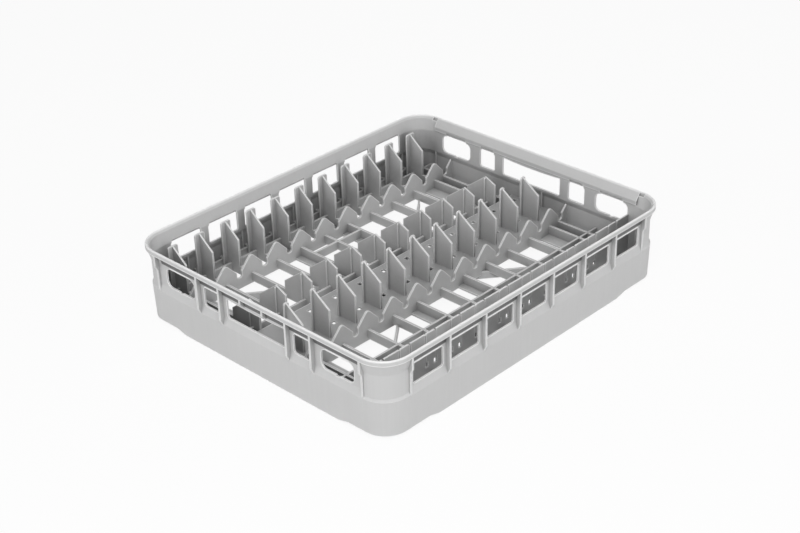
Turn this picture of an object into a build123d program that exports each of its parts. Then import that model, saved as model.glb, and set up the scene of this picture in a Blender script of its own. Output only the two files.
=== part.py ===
from build123d import *
import os

# Whole rack, over the rim, in millimetres
LENGTH = 600.0
WIDTH = 500.0
HEIGHT = 123.0
CORNER_RADIUS = 43.0
CUT_MARGIN = 1.0

# Rim: a rounded lip that hangs outside the wall, with a top that falls to the inside
LIP_HEIGHT = 7.6
LIP_THICKNESS = 2.4
RIM_ROUNDING = 2.5
RIM_WIDTH = 6.4
RIM_FALL = 4.2
RIM_PLATE = 6.0

# Wall above the step, given as insets from the face of the rim; its top leans out to the rim
PANEL_INSET = 8.0
WALL_THICKNESS = 2.8
LEAN_HEIGHT = 101.5
LEAN_REACH = 3.6
INNER_LEAN_HEIGHT = 100.0
CORNER_INSET = 7.0
CORNER_LEAN_INSET = 1.6
CORNER_LEAN_HEIGHT = 18.0

# Skirt below the step, which stands proud of the wall and has draft
STEP_HEIGHT = 56.0
STEP_RISE = 12.0
CORNER_STEP_HEIGHT = 58.0
CORNER_STEP_RISE = 3.5
SKIRT_INSET = 4.8
SKIRT_DRAFT = 1.7
SKIRT_THICKNESS = 2.6
LEDGE_HEIGHT = 65.5
LEDGE_FALL = 8.0
CORNER_LIFT = 4.8
LIFT_RAMP = 19.0
LONG_LIFT_FROM_END = 107.0
SHORT_LIFT_FROM_END = 95.0

# Ribs under the rim, the end ones with a shoulder, and ribs inside the skirt
RIB_THICKNESS = 3.0
RIB_ROOT = 1.0
RIB_INSET = 0.6
RIB_FOOT_HEIGHT = 64.0
RIB_FOOT_INSET = 5.0
END_RIB_INSET = 4.2
RIB_SHOULDER = 91.0
RIB_SHOULDER_RISE = 6.0
INNER_RIB_THICKNESS = 2.4

# Windows between the ribs; their heads slope up to the inside
WINDOW_SILL = 69.5
WINDOW_HEAD = 99.3
HEAD_SLOPE = 1.57
LONG_BAYS = 7
LONG_END_RIB = 52.2
LONG_POST = 14.0
LONG_WINDOW_CORNER = 2.0
SHORT_END_RIB = 46.4
GRIP_RIB = 66.7
SMALL_BAY = 46.8
GRIP_POST = 9.0
SMALL_POST = 7.9
BIG_POST = 13.3
BIG_END_POST = 16.5
SMALL_WINDOW_CORNER = 2.4
BIG_WINDOW_RADIUS = 9.0
GRIP_SAG = 2.0
GRIP_STUB = 22.0
GRIP_STUB_RISE = 1.5
GRIP_STUB_SLOPE = 7.0
SILL_NOTCH = 6.0
SILL_NOTCH_DEPTH = 1.6

# Thickened grip along the inside of both short walls
GRIP_DEPTH = 1.6
GRIP_KNEE = 13.0
GRIP_HEIGHT = 19.5
GRIP_END_GAP = 4.0
RIM_NOTCH_LENGTH = 9.0
RIM_NOTCH_INSET = 3.6
RIM_NOTCH_DEPTH = 1.5

# Floor of bars and webs
FLOOR_TOP = 38.0
PITCH = 50.0
END_CLEARANCE = 20.0
BAR_THICKNESS = 4.0
BAR_DEPTH = 14.5
WEB_THICKNESS = 3.0
WEB_DEPTH = 18.0
RUNNER_THICKNESS = 3.0
BRACE_THICKNESS = 3.0
BRACE_DEPTH = 12.5
BRACE_OVERLAP = 2.5
BRACE_REACH = 0.79
RAIL_WIDTH = 27.0
END_RAIL_WIDTH = 45.0
RAIL_THICKNESS = 3.0
END_BAR_GAP = 21.0
DECK_THICKNESS = 2.4
DECK_HOLE = 7.0
DECK_HOLE_OFFSET = 5.0
DECK_HOLE_FROM_HOUSE = 15.0
DECK_HOLE_FROM_WEB = 47.0
CHANNEL_TOP = 21.0
CHANNEL_DEPTH = 7.5

# Wave webs that hold the plates' lower edges
TONGUE_HALF = 20.0
TONGUE_SHOULDER = 10.0
TONGUE_RISE = 21.5
TONGUE_ROUNDING = 6.0
SLOT_WIDTH = 10.0
SLOT_ROUNDING = 4.0

# Fins: one row against each long wall, two rows back to back in the middle
FIN_TIP = 2.2
FLANGE_THICKNESS = 2.4
FLANGE_ROUNDING = 2.0
TALL_TIP = 66.0
TALL_SHOULDER = 43.5
WALL_FIN_BACK = 26.0
WALL_FIN_REACH = 28.0
WALL_FLANGE_HALF = 9.0
WALL_WEB_GAP = 25.0
MIDDLE_FIN_BACK = -16.0
MIDDLE_FIN_REACH = 32.0
MIDDLE_FLANGE_HALF = 4.5
MIDDLE_WEB_GAP = 22.0
LOW_TIP = 42.0
LOW_SHOULDER = 14.0
HOUSE_BACK = 40.0
HOUSE_PEAK = 20.0
HOUSE_REACH = 37.0
HOUSE_DROP = 9.0
HOUSE_RIB_HALF = 3.0
FRONT_FIN_BACK = 62.0
FRONT_FIN_REACH = 34.0
FRONT_TIP = 45.0
FRONT_SHOULDER = 12.0
FRONT_FLANGE_HALF = 9.6
FRONT_STEM_HALF = 5.3
FRONT_PLATE_HALF = 14.0
FRONT_SILL = 7.6

# Long runners of the floor, measured from the wall or the row they serve
BACK_RUNNER_GAP = 9.0
FRONT_RUNNER_GAP = 25.5
HOUSE_RUNNER_GAP = 14.0
CENTRE_RUNNER_GAP = 29.0

# Places worked out from the sizes above
HALF_L = LENGTH / 2
HALF_W = WIDTH / 2
INNER = PANEL_INSET + WALL_THICKNESS
WINDOW_REACH = INNER + GRIP_DEPTH + CUT_MARGIN
RIM_UNDERSIDE = HEIGHT - RIM_PLATE
LIP_UNDERSIDE = HEIGHT - LIP_HEIGHT
RIM_EDGE = HEIGHT - RIM_FALL
SKIRT_FOOT = SKIRT_INSET + SKIRT_DRAFT
BAR_BOTTOM = FLOOR_TOP - BAR_DEPTH
WEB_BOTTOM = FLOOR_TOP - WEB_DEPTH
FLANGE_FOOT = FLOOR_TOP - BAR_DEPTH / 2
REACH_X = HALF_L - SKIRT_FOOT - SKIRT_THICKNESS / 2
REACH_Y = HALF_W - SKIRT_FOOT - SKIRT_THICKNESS / 2
UPPER_REACH_X = HALF_L - PANEL_INSET - WALL_THICKNESS / 2
CHANNEL_BOTTOM = CHANNEL_TOP - CHANNEL_DEPTH
FIN_STEPS = int((HALF_L - INNER - END_CLEARANCE) / PITCH)
FIN_PLACES = [step * PITCH for step in range(-FIN_STEPS, FIN_STEPS + 1)]
SLOT_PLACES = [(step + 0.5) * PITCH for step in range(-FIN_STEPS - 1, FIN_STEPS + 1)]
TONGUE_PLACES = [step * PITCH for step in range(-FIN_STEPS - 1, FIN_STEPS + 2)]
WALL_ROW = HALF_W - WALL_FIN_BACK
WALL_WEB = WALL_ROW - WALL_FIN_REACH - WALL_WEB_GAP
MIDDLE_WEB = MIDDLE_FIN_BACK - MIDDLE_FIN_REACH - MIDDLE_WEB_GAP
FRONT_ROW = -HALF_W + FRONT_FIN_BACK
LONG_RIBS = [
    (bay / LONG_BAYS - 0.5) * (LENGTH - 2 * LONG_END_RIB) for bay in range(LONG_BAYS + 1)
]
SHORT_HALF_RIBS = [GRIP_RIB, GRIP_RIB + SMALL_BAY, HALF_W - SHORT_END_RIB]
SHORT_RIBS = [-y for y in reversed(SHORT_HALF_RIBS)] + SHORT_HALF_RIBS

# Section planes: local x runs inward from the rim, local y runs up
LONG_SECTION = Plane(origin=(0, -HALF_W, 0), x_dir=(0, 1, 0), z_dir=(1, 0, 0))
SHORT_SECTION = Plane(origin=(HALF_L, 0, 0), x_dir=(-1, 0, 0), z_dir=(0, 1, 0))
FIN_PLANE = Plane(origin=(0, 0, 0), x_dir=(0, 1, 0), z_dir=(1, 0, 0))
WEB_PLANE = Plane(origin=(0, 0, 0), x_dir=(1, 0, 0), z_dir=(0, -1, 0))


def block(x_low, x_high, y_low, y_high, z_low, z_high):
    """A box between two opposite corners."""
    size = (x_high - x_low, y_high - y_low, z_high - z_low)
    centre = ((x_high + x_low) / 2, (y_high + y_low) / 2, (z_high + z_low) / 2)
    return Pos(*centre) * Box(*size)


def outline_face(*points):
    """A flat face inside a closed outline of straight edges."""
    return make_face(Polyline(*points, close=True))


def wall_section(outside):
    """Closed face of skirt, wall and rim behind the given outside line, which ends at the lip."""
    lip = Polyline((0, LIP_UNDERSIDE), (0, HEIGHT - RIM_ROUNDING))
    roll = TangentArc((0, HEIGHT - RIM_ROUNDING), (RIM_ROUNDING, HEIGHT), tangent=(0, 1))
    ledge_foot = LEDGE_HEIGHT - LEDGE_FALL
    inside = Polyline((RIM_ROUNDING, HEIGHT), (RIM_WIDTH, RIM_EDGE), (INNER, INNER_LEAN_HEIGHT),
                      (INNER, LEDGE_HEIGHT), (SKIRT_INSET + SKIRT_THICKNESS, ledge_foot),
                      (SKIRT_FOOT + SKIRT_THICKNESS, 0), (SKIRT_FOOT, 0))
    return make_face(outside + lip + roll + inside)


def bay_section():
    """Section between ribs: the skirt slopes gently into the wall, which hides under the lip."""
    return wall_section(Polyline((SKIRT_FOOT, 0), (SKIRT_INSET, STEP_HEIGHT),
                                 (PANEL_INSET, STEP_HEIGHT + STEP_RISE), (PANEL_INSET, LEAN_HEIGHT),
                                 (PANEL_INSET - LEAN_REACH, RIM_UNDERSIDE), (LIP_THICKNESS, RIM_UNDERSIDE),
                                 (LIP_THICKNESS, LIP_UNDERSIDE), (0, LIP_UNDERSIDE)))


def corner_section():
    """Section at the corners: a small sloped step and a plain wall that leans out to the lip."""
    step_top = CORNER_STEP_HEIGHT + CORNER_STEP_RISE
    return wall_section(Polyline((SKIRT_FOOT, 0), (SKIRT_INSET, CORNER_STEP_HEIGHT), (CORNER_INSET, step_top),
                                 (CORNER_INSET, LIP_UNDERSIDE - CORNER_LEAN_HEIGHT),
                                 (CORNER_LEAN_INSET, LIP_UNDERSIDE), (0, LIP_UNDERSIDE)))


def ring():
    """The wall carried round the rounded rectangle, with its own section at the corners."""
    straight_x = HALF_L - CORNER_RADIUS
    straight_y = HALF_W - CORNER_RADIUS
    end_x = LONG_RIBS[-1]
    end_y = SHORT_RIBS[-1]
    bay = bay_section()
    long_side = extrude(Pos(-end_x, 0, 0) * (LONG_SECTION * bay), 2 * end_x, dir=(1, 0, 0))
    short_side = extrude(Pos(0, -end_y, 0) * (SHORT_SECTION * bay), 2 * end_y, dir=(0, 1, 0))
    corner = corner_section()
    long_end = extrude(Pos(end_x, 0, 0) * (LONG_SECTION * corner), straight_x - end_x, dir=(1, 0, 0))
    turn_start = Pos(straight_x, 0, 0) * (LONG_SECTION * corner)
    turn = revolve(turn_start, Axis((straight_x, -straight_y, 0), (0, 0, 1)), 90)
    short_end = extrude(Pos(0, -straight_y, 0) * (SHORT_SECTION * corner), straight_y - end_y, dir=(0, 1, 0))
    near_corner = long_end + [turn, short_end]
    far_corner = mirror(near_corner, Plane.XZ)
    half = long_side + [near_corner, short_side, far_corner]
    return half + Rot(0, 0, 180) * half


def upright(face, place, thickness, side):
    """A plate from a section face, on the near long or the right-hand short wall, and its opposite."""
    half = thickness / 2
    if side == "long":
        plate = extrude(Pos(place, 0, 0) * (LONG_SECTION * face), half, both=True)
    else:
        plate = extrude(Pos(0, place, 0) * (SHORT_SECTION * face), half, both=True)
    return [plate, Rot(0, 0, 180) * plate]


def rib_face(*outer_edge):
    """Face of a rib from the skirt to the lip, with the given points between its foot and its top."""
    top = RIM_UNDERSIDE + RIB_ROOT / 2
    root = PANEL_INSET + RIB_ROOT
    foot = STEP_HEIGHT - RIB_ROOT
    return outline_face((RIB_FOOT_INSET, foot), *outer_edge, (RIB_INSET, top),
                        (PANEL_INSET - LEAN_REACH + RIB_ROOT, top), (root, LEAN_HEIGHT),
                        (root, STEP_HEIGHT + STEP_RISE), (RIB_FOOT_INSET + RIB_ROOT, foot))


def stub_face():
    """Face of a short rib between a hand hole and the lip."""
    top = RIM_UNDERSIDE + RIB_ROOT / 2
    root = PANEL_INSET + RIB_ROOT
    foot = WINDOW_HEAD + GRIP_STUB_RISE
    return outline_face((RIB_INSET, top), (RIB_INSET, foot + GRIP_STUB_SLOPE), (PANEL_INSET - RIB_ROOT, foot),
                        (root, foot), (root, LEAN_HEIGHT), (PANEL_INSET - LEAN_REACH + RIB_ROOT, top))


def outer_ribs():
    """Ribs that carry the rim, and two short ones over each hand hole."""
    plain = rib_face((RIB_INSET, RIB_FOOT_HEIGHT))
    shouldered = rib_face((END_RIB_INSET, RIB_SHOULDER), (RIB_INSET, RIB_SHOULDER + RIB_SHOULDER_RISE))
    plates = []
    for side, places in (("long", LONG_RIBS), ("short", SHORT_RIBS)):
        for place in places[1:-1]:
            plates += upright(plain, place, RIB_THICKNESS, side)
        for place in (places[0], places[-1]):
            plates += upright(shouldered, place, RIB_THICKNESS, side)
    for y in (-GRIP_STUB, GRIP_STUB):
        plates += upright(stub_face(), y, RIB_THICKNESS, "short")
    return plates


def inner_ribs():
    """Ribs inside the skirt, up to the ledge under the wall."""
    deep = INNER - RIB_ROOT / 4
    skirt = SKIRT_FOOT + RIB_ROOT
    rib = outline_face((skirt, BAR_BOTTOM), (deep, BAR_BOTTOM), (deep, LEDGE_HEIGHT + RIB_ROOT),
                       (PANEL_INSET + RIB_ROOT, LEDGE_HEIGHT + RIB_ROOT),
                       (skirt, LEDGE_HEIGHT - LEDGE_FALL + RIB_ROOT))
    half_bay = (LONG_RIBS[1] - LONG_RIBS[0]) / 2
    plates = []
    for x in LONG_RIBS:
        plates += upright(rib, x, INNER_RIB_THICKNESS, "long")
    for x in LONG_RIBS[:-1]:
        plates += upright(rib, x + half_bay, INNER_RIB_THICKNESS, "long")
    for y in (SHORT_RIBS[0], -GRIP_STUB, GRIP_STUB, SHORT_RIBS[-1]):
        plates += upright(rib, y, INNER_RIB_THICKNESS, "short")
    return plates


def head_wedge(middle, width, side):
    """Cut that slopes a window's head up to the inside, through both opposite walls."""
    rise = (WINDOW_REACH - PANEL_INSET) * HEAD_SLOPE
    face = outline_face((PANEL_INSET, WINDOW_HEAD), (WINDOW_REACH, WINDOW_HEAD - CUT_MARGIN),
                        (WINDOW_REACH, WINDOW_HEAD + rise))
    return upright(face, middle, width, side)


def long_windows():
    """Equal windows through both long walls."""
    bay = LONG_RIBS[1] - LONG_RIBS[0]
    width = bay - LONG_POST
    height = WINDOW_HEAD - WINDOW_SILL
    middle = (WINDOW_HEAD + WINDOW_SILL) / 2
    cuts = []
    for low, high in zip(LONG_RIBS[:-1], LONG_RIBS[1:]):
        centre = (low + high) / 2
        frame = Rectangle(width, height)
        face = Pos(centre, middle) * chamfer(frame.vertices(), LONG_WINDOW_CORNER)
        cuts.append(extrude(WEB_PLANE * face, HALF_W + CUT_MARGIN, both=True))
        cuts += head_wedge(centre, width - 2 * LONG_WINDOW_CORNER, "long")
    return cuts


def short_window(low, high, soften, size):
    """One window through both short walls, with its corners rounded or cut by the given size."""
    centre = (low + high) / 2
    frame = Rectangle(high - low, WINDOW_HEAD - WINDOW_SILL)
    face = Pos(centre, (WINDOW_HEAD + WINDOW_SILL) / 2) * soften(frame.vertices(), size)
    cut = extrude(FIN_PLANE * face, HALF_L + CUT_MARGIN, both=True)
    return [cut] + head_wedge(centre, high - low - 2 * size, "short")


def grip_window():
    """Wide hand hole whose head sags in the middle."""
    half = GRIP_RIB - GRIP_POST
    head = ThreePointArc((half, WINDOW_HEAD), (0, WINDOW_HEAD - GRIP_SAG), (-half, WINDOW_HEAD))
    rest = Polyline((-half, WINDOW_HEAD), (-half, WINDOW_SILL), (half, WINDOW_SILL), (half, WINDOW_HEAD))
    face = make_face(head + rest)
    face = chamfer(face.vertices().group_by(Axis.Y)[0], SMALL_WINDOW_CORNER)
    return extrude(FIN_PLANE * face, HALF_L + CUT_MARGIN, both=True)


def short_windows():
    """Hand hole, two small windows and two big ones through both short walls."""
    cuts = [grip_window()]
    for side in (-1, 1):
        small_low = GRIP_RIB + SMALL_POST
        small_high = GRIP_RIB + SMALL_BAY - SMALL_POST
        big_low = GRIP_RIB + SMALL_BAY + BIG_POST
        big_high = HALF_W - SHORT_END_RIB - BIG_END_POST
        cuts += short_window(*sorted((side * small_low, side * small_high)), chamfer, SMALL_WINDOW_CORNER)
        cuts += short_window(*sorted((side * big_low, side * big_high)), fillet, BIG_WINDOW_RADIUS)
        notch = Rectangle(SILL_NOTCH, 2 * SILL_NOTCH_DEPTH)
        face = Pos(side * (big_low + big_high) / 2, WINDOW_SILL) * notch
        cuts.append(extrude(FIN_PLANE * face, HALF_L + CUT_MARGIN, both=True))
    return cuts


def corner_lifts():
    """Cuts that raise the bottom edge at the corners, so the rack rests on its sides."""
    long_start = HALF_L - LONG_LIFT_FROM_END
    short_start = HALF_W - SHORT_LIFT_FROM_END
    long_end = HALF_L + CUT_MARGIN
    short_end = HALF_W + CUT_MARGIN
    long_face = outline_face((long_start, 0), (long_start + LIFT_RAMP, CORNER_LIFT),
                             (long_end, CORNER_LIFT), (long_end, 0))
    short_face = outline_face((short_start, 0), (short_start + LIFT_RAMP, CORNER_LIFT),
                              (short_end, CORNER_LIFT), (short_end, 0))
    near = Pos(0, -HALF_W, 0) * extrude(WEB_PLANE * long_face, CORNER_RADIUS, dir=(0, 1, 0))
    end = Pos(HALF_L, 0, 0) * extrude(FIN_PLANE * short_face, CORNER_RADIUS, dir=(-1, 0, 0))
    cuts = []
    for solid in (near, end):
        across_x = mirror(solid, Plane.YZ)
        across_y = mirror(solid, Plane.XZ)
        cuts += [solid, across_x, across_y, mirror(across_x, Plane.XZ)]
    return cuts


def grip_thickening():
    """Sloped inner swelling that makes both short walls comfortable to hold."""
    deep = INNER + GRIP_DEPTH
    knee = HEIGHT - GRIP_KNEE
    foot = HEIGHT - GRIP_HEIGHT
    face = outline_face((RIM_WIDTH, RIM_EDGE), (deep, knee), (deep, foot), (INNER - RIB_ROOT, foot),
                        (RIM_WIDTH - RIB_ROOT, RIM_EDGE))
    half = HALF_W - CORNER_RADIUS - GRIP_END_GAP
    return upright(face, 0, 2 * half, "short")


def rim_notches():
    """Short notches in the inner side of the rim where the thickening stops."""
    start = HALF_W - CORNER_RADIUS - GRIP_END_GAP
    right = block(HALF_L - INNER, HALF_L - RIM_NOTCH_INSET, start, start + RIM_NOTCH_LENGTH,
                  RIM_EDGE - RIM_NOTCH_DEPTH, HEIGHT)
    far_left = mirror(right, Plane.YZ)
    return [right, far_left, mirror(right, Plane.XZ), mirror(far_left, Plane.XZ)]


def walls():
    """Rim, wall and skirt with their ribs, windows and lifted corners."""
    wall = ring() + (outer_ribs() + inner_ribs() + grip_thickening())
    wall = wall - long_windows()
    wall = wall - short_windows()
    return wall - (corner_lifts() + rim_notches())


def between_walls():
    """Face of the space between the short walls, in which cross webs end inside the wall's thickness."""
    low = Pos(0, STEP_HEIGHT / 2) * Rectangle(2 * REACH_X, STEP_HEIGHT)
    high = Pos(0, HEIGHT / 2) * Rectangle(2 * UPPER_REACH_X, HEIGHT)
    return low + high


def wave_web(y):
    """Long web with a rounded tongue at every fin and a slot between tongues."""
    shoulder = FLOOR_TOP + TONGUE_SHOULDER
    plate = Pos(0, (WEB_BOTTOM + shoulder) / 2) * Rectangle(2 * REACH_X, shoulder - WEB_BOTTOM)
    tongue = outline_face((-TONGUE_HALF, shoulder), (0, shoulder + TONGUE_RISE), (TONGUE_HALF, shoulder))
    tongue = fillet(tongue.vertices().group_by(Axis.Y)[-1], TONGUE_ROUNDING)
    slot_height = 2 * TONGUE_SHOULDER
    slot = RectangleRounded(SLOT_WIDTH, slot_height, SLOT_ROUNDING)
    face = plate + [Pos(x, 0) * tongue for x in TONGUE_PLACES]
    face = face - [Pos(x, FLOOR_TOP + slot_height / 2) * slot for x in SLOT_PLACES]
    return extrude(Pos(0, y, 0) * (WEB_PLANE * (face & between_walls())), WEB_THICKNESS / 2, both=True)


def runner(y, x_low=-REACH_X, x_high=REACH_X):
    """Plain long rib of the floor."""
    half = RUNNER_THICKNESS / 2
    return block(x_low, x_high, y - half, y + half, BAR_BOTTOM, FLOOR_TOP)


def floor():
    """Cross bars, runners, rails, closed deck and diagonal braces."""
    half = BAR_THICKNESS / 2
    end_bar = FIN_PLACES[-1] + END_BAR_GAP
    bars = []
    for x in FIN_PLACES + [-end_bar, end_bar]:
        bars.append(block(x - half, x + half, FRONT_ROW, REACH_Y, BAR_BOTTOM, FLOOR_TOP))
        bars.append(block(x - half, x + half, -REACH_Y, FRONT_ROW, CHANNEL_BOTTOM, CHANNEL_TOP))
    runners = [runner(y) for y in (
        WALL_ROW + BACK_RUNNER_GAP,
        WALL_ROW - BACK_RUNNER_GAP,
        HOUSE_BACK + HOUSE_RUNNER_GAP,
        FRONT_ROW + FRONT_FIN_REACH + FRONT_RUNNER_GAP,
    )]
    runners.append(runner(WALL_WEB - CENTRE_RUNNER_GAP, -PITCH, PITCH))
    rails = []
    for x, width in ((PITCH, RAIL_WIDTH), (FIN_PLACES[-1], END_RAIL_WIDTH)):
        for side in (-1, 1):
            rails.append(block(side * x - width / 2, side * x + width / 2, FRONT_ROW, REACH_Y,
                               BAR_BOTTOM - RAIL_THICKNESS, BAR_BOTTOM))
    pieces = bars + runners + rails + [deck()] + braces()
    return (pieces[0] + pieces[1:]) & envelope()


def deck():
    """Closed floor between the two middle rows, with two drain holes in each bay."""
    plate = block(-REACH_X, REACH_X, MIDDLE_WEB, HOUSE_BACK, FLOOR_TOP - DECK_THICKNESS, FLOOR_TOP)
    hole = Box(DECK_HOLE, DECK_HOLE, 2 * DECK_THICKNESS)
    rows = (HOUSE_BACK - DECK_HOLE_FROM_HOUSE, MIDDLE_WEB + DECK_HOLE_FROM_WEB)
    places = [(x + DECK_HOLE_OFFSET, y) for x in SLOT_PLACES for y in rows]
    return plate - [Pos(x, y, FLOOR_TOP) * hole for x, y in places]


def envelope():
    """Space inside the middle of the skirt's thickness, where floor pieces end."""
    inset = SKIRT_FOOT + SKIRT_THICKNESS / 2
    plan = RectangleRounded(2 * REACH_X, 2 * REACH_Y, CORNER_RADIUS - inset)
    return extrude(plan, HEIGHT)


def braces():
    """Two crossed diagonal ribs under the bars."""
    end_x = FIN_PLACES[-1]
    end_y = end_x * BRACE_REACH
    top = BAR_BOTTOM + BRACE_OVERLAP
    brace_face = outline_face((-end_x, -BRACE_THICKNESS / 2), (end_x, -BRACE_THICKNESS / 2),
                              (end_x, BRACE_THICKNESS / 2), (-end_x, BRACE_THICKNESS / 2))
    angle = Vector(end_x, end_y).get_angle(Vector(1, 0))
    flat = Pos(0, 0, top) * extrude(brace_face, BRACE_DEPTH, dir=(0, 0, -1))
    return [Rot(0, 0, turn) * flat for turn in (angle, -angle)]


def tapered_fin(points, top):
    """A fin cut from a wedge that thins from its root to its tip."""
    root = BAR_THICKNESS / 2
    profile = extrude(FIN_PLANE * outline_face(*points), root, both=True)
    wedge_face = outline_face((-root, FLOOR_TOP), (root, FLOOR_TOP), (FIN_TIP / 2, top), (-FIN_TIP / 2, top))
    return profile & extrude(WEB_PLANE * wedge_face, HALF_W, both=True)


def flange(y, half, top, foot=FLANGE_FOOT):
    """Upright plate across a fin, with cut upper corners."""
    face = Pos(0, (foot + top) / 2) * Rectangle(2 * half, top - foot)
    face = chamfer(face.vertices().group_by(Axis.Y)[-1], FLANGE_ROUNDING)
    return extrude(Pos(0, y, 0) * (WEB_PLANE * face), FLANGE_THICKNESS / 2, both=True)


def slanted_fin(back, reach, tip, shoulder, half, foot=FLANGE_FOOT):
    """Fin that slants down from its flange; reach is signed along Y."""
    top = FLOOR_TOP + tip
    knee = FLOOR_TOP + shoulder
    front = back + reach
    points = ((back, FLOOR_TOP), (back, top), (front, knee), (front, FLOOR_TOP))
    return [tapered_fin(points, top), flange(back, half, top, foot)]


def house_fin():
    """Low gabled fin with a short upright rib under its peak."""
    top = FLOOR_TOP + LOW_TIP
    knee = FLOOR_TOP + LOW_SHOULDER
    peak = HOUSE_BACK + HOUSE_PEAK
    front = peak + HOUSE_REACH
    points = ((HOUSE_BACK, FLOOR_TOP), (HOUSE_BACK, top - HOUSE_DROP), (peak, top), (front, knee),
              (front, FLOOR_TOP))
    return [tapered_fin(points, top), flange(peak, HOUSE_RIB_HALF, top - FLANGE_ROUNDING)]


def fins():
    """All four rows of fins, copied along the pitch."""
    station = slanted_fin(WALL_ROW, -WALL_FIN_REACH, TALL_TIP, TALL_SHOULDER, WALL_FLANGE_HALF)
    station += slanted_fin(MIDDLE_FIN_BACK, -MIDDLE_FIN_REACH, TALL_TIP, TALL_SHOULDER, MIDDLE_FLANGE_HALF)
    station += slanted_fin(FRONT_ROW, FRONT_FIN_REACH, FRONT_TIP, FRONT_SHOULDER, FRONT_FLANGE_HALF,
                           FLOOR_TOP)
    station += house_fin()
    return [Pos(x, 0, 0) * piece for x in FIN_PLACES for piece in station]


def front_wall():
    """Upright web under the front fins, with a plate in every bay and small gaps beside the bars."""
    top = FLOOR_TOP + FRONT_TIP
    sill = FLOOR_TOP - FRONT_SILL
    web = Pos(0, (CHANNEL_BOTTOM + sill) / 2) * Rectangle(2 * REACH_X, sill - CHANNEL_BOTTOM)
    plate = Rectangle(2 * FRONT_PLATE_HALF, top - CHANNEL_BOTTOM)
    stem = Rectangle(2 * FRONT_STEM_HALF, FLOOR_TOP - CHANNEL_BOTTOM)
    end_half = (HALF_L - SLOT_PLACES[-1] + FRONT_PLATE_HALF) / 2
    end_plate = Rectangle(2 * end_half, top - CHANNEL_BOTTOM)
    face = web + [Pos(x, (CHANNEL_BOTTOM + top) / 2) * plate for x in SLOT_PLACES[1:-1]]
    face = face + [Pos(x, (CHANNEL_BOTTOM + FLOOR_TOP) / 2) * stem for x in FIN_PLACES]
    end_places = (end_half - HALF_L, HALF_L - end_half)
    face = face + [Pos(x, (CHANNEL_BOTTOM + top) / 2) * end_plate for x in end_places]
    placed = Pos(0, FRONT_ROW, 0) * (WEB_PLANE * (face & between_walls()))
    return extrude(placed, FLANGE_THICKNESS / 2, both=True)


def plate_rack():
    """The whole moulding as one solid."""
    webs = [wave_web(WALL_WEB), wave_web(MIDDLE_WEB)]
    return walls() + [floor()] + webs + fins() + [front_wall()]


os.makedirs("parts", exist_ok=True)
rack = plate_rack()
export_step(rack, "parts/plate_rack.step")
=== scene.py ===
import bpy
from mathutils import Matrix, Vector


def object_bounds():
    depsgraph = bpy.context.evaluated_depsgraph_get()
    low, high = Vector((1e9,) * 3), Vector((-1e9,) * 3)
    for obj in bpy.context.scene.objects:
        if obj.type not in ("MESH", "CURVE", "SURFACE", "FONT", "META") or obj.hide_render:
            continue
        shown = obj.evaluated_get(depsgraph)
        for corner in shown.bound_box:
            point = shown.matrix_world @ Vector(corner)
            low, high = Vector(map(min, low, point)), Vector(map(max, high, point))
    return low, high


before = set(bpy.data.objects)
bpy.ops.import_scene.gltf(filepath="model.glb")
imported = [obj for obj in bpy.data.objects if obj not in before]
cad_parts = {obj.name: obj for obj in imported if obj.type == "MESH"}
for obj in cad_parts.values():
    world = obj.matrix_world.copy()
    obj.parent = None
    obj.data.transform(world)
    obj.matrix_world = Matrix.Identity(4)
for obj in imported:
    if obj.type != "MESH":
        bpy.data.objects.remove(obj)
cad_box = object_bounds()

# Camera, fitted to the rim, skirt, ribs and fins of the photographed rack
CAMERA_PLACE = (-1.42811, -1.38184, 1.18706)
CAMERA_RIGHT = (0.68839, -0.72496, -0.02316)
CAMERA_DOWN = (-0.37496, -0.32835, -0.86694)
FOCAL_PIXELS = 1556.34
IMAGE_WIDTH = 800
SENSOR_WIDTH = 36.0

# Grey plastic: two close greys, drifting slowly over the moulding, with upright streaks from the mould
PLASTIC_DARK = (0.50, 0.50, 0.50, 1.0)
PLASTIC_LIGHT = (0.56, 0.56, 0.56, 1.0)
DRIFT_SCALE = 9.0
DRIFT_DETAIL = 3.0
STREAK_STRETCH = (260.0, 260.0, 4.0)
STREAK_SCALE = 1.0
STREAK_DETAIL = 2.0
STREAK_SHARE = 0.5
GRAIN_SCALE = 1400.0
GRAIN_DETAIL = 2.0
GRAIN_HEIGHT = 0.00012
WAVE_SCALE = 45.0
WAVE_DETAIL = 1.0
WAVE_HEIGHT = 0.0003
ROUGH_LOW = 0.40
ROUGH_HIGH = 0.56
EDGE_RADIUS = 0.0006
EDGE_SAMPLES = 4

# Edges are paler as a painted highlight, and sheltered places are darker as painted shade
SHELTER_SAMPLES = 8
EDGE_HIGHLIGHT_COLOUR = (0.86, 0.86, 0.86, 1.0)
EDGE_HIGHLIGHT_REACH = 0.0016
# Openness inside the plastic where the painted edge highlight starts, and where it is full
EDGE_HIGHLIGHT_RANGE = (0.94, 0.66)
PAINTED_SHADE_REACH = 0.08
# Openness around the plastic where the painted shade is darkest, and where it ends
PAINTED_SHADE_RANGE = (0.10, 0.72)
PAINTED_SHADE_DARKEST = 0.32

# Painted shade in the groove under the lip and on the closed floor in the middle, and a painted highlight
# on the rim's crown
HALF_LENGTH = cad_box[1][0]
HALF_WIDTH = cad_box[1][1]
GROOVE_HEIGHTS = (0.1028, 0.1154)
GROOVE_INSETS = (0.0030, 0.0088)
GROOVE_SHADE_DARKEST = 0.22
LONG_GROOVE_END = 0.246
SHORT_GROOVE_END = 0.196
CLOSED_FLOOR_HEIGHTS = (0.0370, 0.0385)
CLOSED_FLOOR_REACH = (-0.069, 0.039)
CLOSED_FLOOR_SHADE_DARKEST = 0.78
CROWN_HIGHLIGHT_HEIGHTS = (0.1205, 0.1225)
CROWN_HIGHLIGHT_SHARE = 0.8
# A face looks outward where its place times its normal, along the axis across its wall, passes this
OUTWARD = 0.05
# A face looks upward where the upward part of its normal passes this
UPWARD = 0.5

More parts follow.
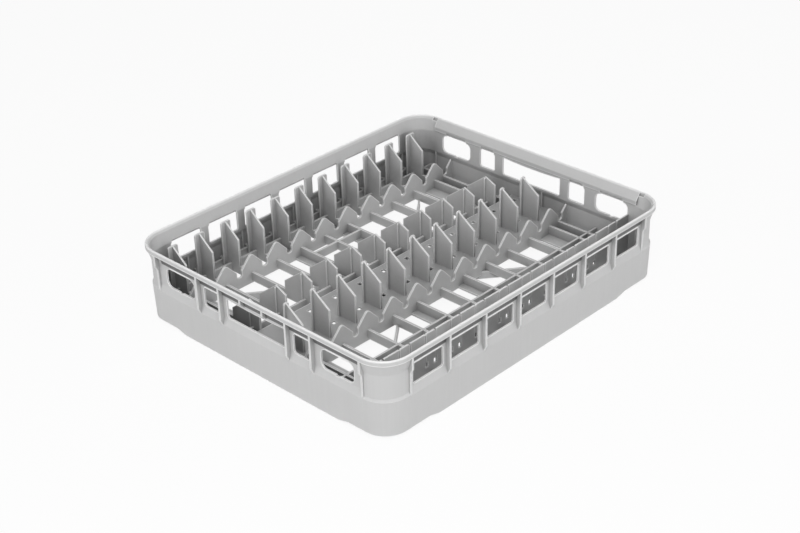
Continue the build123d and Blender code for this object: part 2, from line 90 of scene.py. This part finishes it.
# White studio: floor, world and lamps
WHITE = (1.0, 1.0, 1.0, 1.0)
FLOOR_SIZE = 12.0
FLOOR_COLOUR = (0.85, 0.85, 0.85, 1.0)
SHADOW_SHARE = 0.08
WORLD_STRENGTH = 0.06
LAMP_TARGET = (0.0, 0.0, 0.06)
# Name, place, size and power of each soft lamp
LAMPS = (
    ("overhead", (0.0, 0.0, 2.2), 2.0, 15.0),
    ("front", (-1.45, -1.45, 1.9), 1.6, 44.0),
    ("left", (-2.6, 0.0, 0.45), 1.2, 13.0),
    ("left_back", (-2.3, 2.3, 0.4), 1.2, 18.0),
    ("right", (0.0, -2.6, 0.45), 1.2, 10.0),
    ("right_back", (1.9, -1.9, 1.0), 1.6, 15.0),
    ("back", (2.3, 2.3, 0.5), 1.2, 24.0),
)


def add_node(tree, kind, **inputs):
    """A shader node with some of its inputs set by name."""
    node = tree.nodes.new(kind)
    for name, value in inputs.items():
        node.inputs[name.replace("_", " ")].default_value = value
    return node


def calculate(tree, operation, *values):
    """A math node over sockets and numbers."""
    node = tree.nodes.new("ShaderNodeMath")
    node.operation = operation
    for socket, value in zip(node.inputs, values):
        if isinstance(value, bpy.types.NodeSocket):
            tree.links.new(value, socket)
        else:
            socket.default_value = value
    return node.outputs[0]


def seen_directly(tree):
    """Factor that is one for camera, glossy and transmission rays."""
    path = tree.nodes.new("ShaderNodeLightPath")
    total = path.outputs["Is Camera Ray"]
    for name in ("Is Glossy Ray", "Is Transmission Ray"):
        total = calculate(tree, "MAXIMUM", total, path.outputs[name])
    return total


def noise(tree, vector, scale, detail):
    """Strength of a noise at each place."""
    node = add_node(tree, "ShaderNodeTexNoise", Scale=scale, Detail=detail)
    tree.links.new(vector, node.inputs["Vector"])
    return node.outputs["Fac"]


def spread(tree, value, source_range, target_range):
    """Value mapped from one range to another."""
    node = add_node(tree, "ShaderNodeMapRange", From_Min=source_range[0], From_Max=source_range[1],
                    To_Min=target_range[0], To_Max=target_range[1])
    tree.links.new(value, node.inputs["Value"])
    return node.outputs["Result"]


def colour_mix(tree):
    """A colour mix node with its two colour inputs and its colour output."""
    node = tree.nodes.new("ShaderNodeMix")
    node.data_type = "RGBA"
    inputs = [socket for socket in node.inputs if socket.type == "RGBA"]
    output = [socket for socket in node.outputs if socket.type == "RGBA"][0]
    return node, inputs, output


def nearness(tree, reach, inside, source_range, target_range):
    """Factor from how much of the rack lies within reach, before the surface or behind it."""
    shelter = add_node(tree, "ShaderNodeAmbientOcclusion", Distance=reach)
    shelter.inside = inside
    shelter.only_local = True
    shelter.samples = SHELTER_SAMPLES
    return spread(tree, shelter.outputs["AO"], source_range, target_range)


def split(tree, vector):
    """The three parts of a vector."""
    node = tree.nodes.new("ShaderNodeSeparateXYZ")
    tree.links.new(vector, node.inputs[0])
    return list(node.outputs)


def between(tree, value, low, high):
    """One where a value lies between two limits, and zero elsewhere."""
    above = calculate(tree, "GREATER_THAN", value, low)
    below = calculate(tree, "LESS_THAN", value, high)
    return calculate(tree, "MULTIPLY", above, below)


def all_of(tree, shares):
    """Product of several shares."""
    total = shares[0]
    for share in shares[1:]:
        total = calculate(tree, "MULTIPLY", total, share)
    return total


def wall_groove(tree, toward, facing, half_size, beside, end):
    """One on the outer faces of two opposite walls, in the groove between their end ribs."""
    inset = calculate(tree, "SUBTRACT", half_size, calculate(tree, "ABSOLUTE", toward))
    outward = calculate(tree, "GREATER_THAN", calculate(tree, "MULTIPLY", toward, facing), OUTWARD)
    return all_of(tree, [between(tree, inset, *GROOVE_INSETS), between(tree, beside, -end, end), outward])


def groove_shade_share(tree, spot, facing):
    """One in the groove under the lip of all four walls."""
    long_walls = wall_groove(tree, spot[1], facing[1], HALF_WIDTH, spot[0], LONG_GROOVE_END)
    short_walls = wall_groove(tree, spot[0], facing[0], HALF_LENGTH, spot[1], SHORT_GROOVE_END)
    either = calculate(tree, "MAXIMUM", long_walls, short_walls)
    return calculate(tree, "MULTIPLY", either, between(tree, spot[2], *GROOVE_HEIGHTS))


def closed_floor_shade_share(tree, spot, facing):
    """One on top of the closed floor between the two middle rows."""
    upward = calculate(tree, "GREATER_THAN", facing[2], UPWARD)
    return all_of(tree, [between(tree, spot[1], *CLOSED_FLOOR_REACH),
                         between(tree, spot[2], *CLOSED_FLOOR_HEIGHTS), upward])


def kept_light(tree, share, darkest):
    """Factor that falls from one to the darkest value where the share is one."""
    return calculate(tree, "SUBTRACT", 1.0, calculate(tree, "MULTIPLY", share, 1.0 - darkest))


def streaked_grey(tree, place):
    """Two close greys, mixed by a slow drift and by upright streaks."""
    drift = noise(tree, place, DRIFT_SCALE, DRIFT_DETAIL)
    stretch = add_node(tree, "ShaderNodeMapping", Scale=STREAK_STRETCH)
    tree.links.new(place, stretch.inputs["Vector"])
    streak = noise(tree, stretch.outputs["Vector"], STREAK_SCALE, STREAK_DETAIL)
    shade = add_node(tree, "ShaderNodeMix", Factor=STREAK_SHARE)
    tree.links.new(drift, shade.inputs["A"])
    tree.links.new(streak, shade.inputs["B"])
    tone, greys, toned = colour_mix(tree)
    greys[0].default_value = PLASTIC_DARK
    greys[1].default_value = PLASTIC_LIGHT
    tree.links.new(shade.outputs["Result"], tone.inputs["Factor"])
    return toned


def highlighted_colour(tree, colour, height):
    """Colour with painted highlights: paler along edges and on the rim's crown."""
    # Painted highlight: the colour is paler along edges, where they would catch light
    edge_highlight = nearness(tree, EDGE_HIGHLIGHT_REACH, True, EDGE_HIGHLIGHT_RANGE, (0.0, 1.0))
    # Painted highlight: the colour is paler on the rim's crown
    crown_highlight = spread(tree, height, CROWN_HIGHLIGHT_HEIGHTS, (0.0, CROWN_HIGHLIGHT_SHARE))
    highlight, colours, highlighted = colour_mix(tree)
    tree.links.new(calculate(tree, "MAXIMUM", edge_highlight, crown_highlight), highlight.inputs["Factor"])
    tree.links.new(colour, colours[0])
    colours[1].default_value = EDGE_HIGHLIGHT_COLOUR
    return highlighted


def shaded_colour(tree, colour, spot, facing):
    """Colour with painted shade: darker in sheltered places, in the groove and on the closed floor."""
    # Painted shade: the colour is darker where more of the rack lies near the surface
    sheltered_shade = nearness(tree, PAINTED_SHADE_REACH, False, PAINTED_SHADE_RANGE, (PAINTED_SHADE_DARKEST, 1.0))
    # Painted shade: the colour is darker in the groove under the lip
    groove_shade = kept_light(tree, groove_shade_share(tree, spot, facing), GROOVE_SHADE_DARKEST)
    # Painted shade: the colour is darker on top of the closed floor
    closed_floor_shade = kept_light(tree, closed_floor_shade_share(tree, spot, facing), CLOSED_FLOOR_SHADE_DARKEST)
    painted_shade, colours, shaded = colour_mix(tree)
    painted_shade.blend_type = "MULTIPLY"
    painted_shade.inputs["Factor"].default_value = 1.0
    tree.links.new(colour, colours[0])
    tree.links.new(all_of(tree, [sheltered_shade, groove_shade, closed_floor_shade]), colours[1])
    return shaded


def raised(tree, height, distance, normal):
    """Normal that is bent by a height."""
    node = add_node(tree, "ShaderNodeBump", Distance=distance)
    tree.links.new(height, node.inputs["Height"])
    tree.links.new(normal, node.inputs["Normal"])
    return node.outputs["Normal"]


def grey_plastic():
    """Satin moulded plastic with streaks, fine grain, soft waves, painted edge highlights and painted
    shade.
    """
    material = bpy.data.materials.new("grey_plastic")
    material.use_nodes = True
    tree = material.node_tree
    shader = tree.nodes["Principled BSDF"]
    place = tree.nodes.new("ShaderNodeTexCoord").outputs["Object"]
    spot = split(tree, place)
    facing = split(tree, tree.nodes.new("ShaderNodeNewGeometry").outputs["True Normal"])

    highlighted = highlighted_colour(tree, streaked_grey(tree, place), spot[2])
    tree.links.new(shaded_colour(tree, highlighted, spot, facing), shader.inputs["Base Color"])

    grain = noise(tree, place, GRAIN_SCALE, GRAIN_DETAIL)
    gloss = spread(tree, grain, (0.0, 1.0), (ROUGH_LOW, ROUGH_HIGH))
    tree.links.new(gloss, shader.inputs["Roughness"])

    edge = add_node(tree, "ShaderNodeBevel", Radius=EDGE_RADIUS)
    edge.samples = EDGE_SAMPLES
    waves = raised(tree, noise(tree, place, WAVE_SCALE, WAVE_DETAIL), WAVE_HEIGHT, edge.outputs["Normal"])
    tree.links.new(raised(tree, grain, GRAIN_HEIGHT, waves), shader.inputs["Normal"])
    return material


def floor_material():
    """White floor that keeps a faint shadow."""
    material = bpy.data.materials.new("white_floor")
    material.use_nodes = True
    tree = material.node_tree
    tree.nodes.remove(tree.nodes["Principled BSDF"])
    output = tree.nodes["Material Output"]
    matte = add_node(tree, "ShaderNodeBsdfDiffuse", Color=FLOOR_COLOUR)
    white = add_node(tree, "ShaderNodeEmission", Color=WHITE, Strength=1.0)
    seen = add_node(tree, "ShaderNodeMixShader", Fac=SHADOW_SHARE)
    tree.links.new(white.outputs[0], seen.inputs[1])
    tree.links.new(matte.outputs[0], seen.inputs[2])
    choice = tree.nodes.new("ShaderNodeMixShader")
    tree.links.new(seen_directly(tree), choice.inputs[0])
    tree.links.new(matte.outputs[0], choice.inputs[1])
    tree.links.new(seen.outputs[0], choice.inputs[2])
    tree.links.new(choice.outputs[0], output.inputs["Surface"])
    return material


def floor():
    """Plain floor under the rack."""
    half = FLOOR_SIZE / 2
    mesh = bpy.data.meshes.new("floor")
    corners = [(-half, -half, 0), (half, -half, 0), (half, half, 0), (-half, half, 0)]
    mesh.from_pydata(corners, [], [(0, 1, 2, 3)])
    mesh.materials.append(floor_material())
    plane = bpy.data.objects.new("floor", mesh)
    bpy.context.scene.collection.objects.link(plane)


def studio_world():
    """Surroundings that look white and light the rack faintly."""
    world = bpy.data.worlds.new("studio")
    world.use_nodes = True
    tree = world.node_tree
    output = tree.nodes["World Output"]
    around = tree.nodes["Background"]
    around.inputs["Color"].default_value = WHITE
    around.inputs["Strength"].default_value = WORLD_STRENGTH
    white = add_node(tree, "ShaderNodeBackground", Color=WHITE, Strength=1.0)
    choice = tree.nodes.new("ShaderNodeMixShader")
    tree.links.new(seen_directly(tree), choice.inputs[0])
    tree.links.new(around.outputs[0], choice.inputs[1])
    tree.links.new(white.outputs[0], choice.inputs[2])
    tree.links.new(choice.outputs[0], output.inputs["Surface"])
    bpy.context.scene.world = world


def soft_lamp(name, place, size, power):
    """Square area lamp that looks at the rack."""
    data = bpy.data.lights.new(name, "AREA")
    data.size = size
    data.energy = power
    lamp = bpy.data.objects.new(name, data)
    lamp.location = place
    lamp.rotation_euler = (Vector(LAMP_TARGET) - Vector(place)).to_track_quat("-Z", "Y").to_euler()
    bpy.context.scene.collection.objects.link(lamp)


def camera():
    """Camera at the photograph's place, with its lens."""
    data = bpy.data.cameras.new("camera")
    data.sensor_fit = "HORIZONTAL"
    data.sensor_width = SENSOR_WIDTH
    data.lens = FOCAL_PIXELS / IMAGE_WIDTH * SENSOR_WIDTH
    right = Vector(CAMERA_RIGHT).normalized()
    up = -Vector(CAMERA_DOWN).normalized()
    back = right.cross(up).normalized()
    turn = Matrix((right, up, back)).transposed().to_4x4()
    viewer = bpy.data.objects.new("camera", data)
    viewer.matrix_world = Matrix.Translation(CAMERA_PLACE) @ turn
    bpy.context.scene.collection.objects.link(viewer)
    bpy.context.scene.camera = viewer


# Plastic on the rack
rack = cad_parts["plate_rack"]
rack.data.materials.clear()
rack.data.materials.append(grey_plastic())

# Studio and camera
floor()
studio_world()
for lamp_name, lamp_place, lamp_size, lamp_power in LAMPS:
    soft_lamp(lamp_name, lamp_place, lamp_size, lamp_power)
camera()
bpy.context.scene.view_settings.view_transform = "Standard"
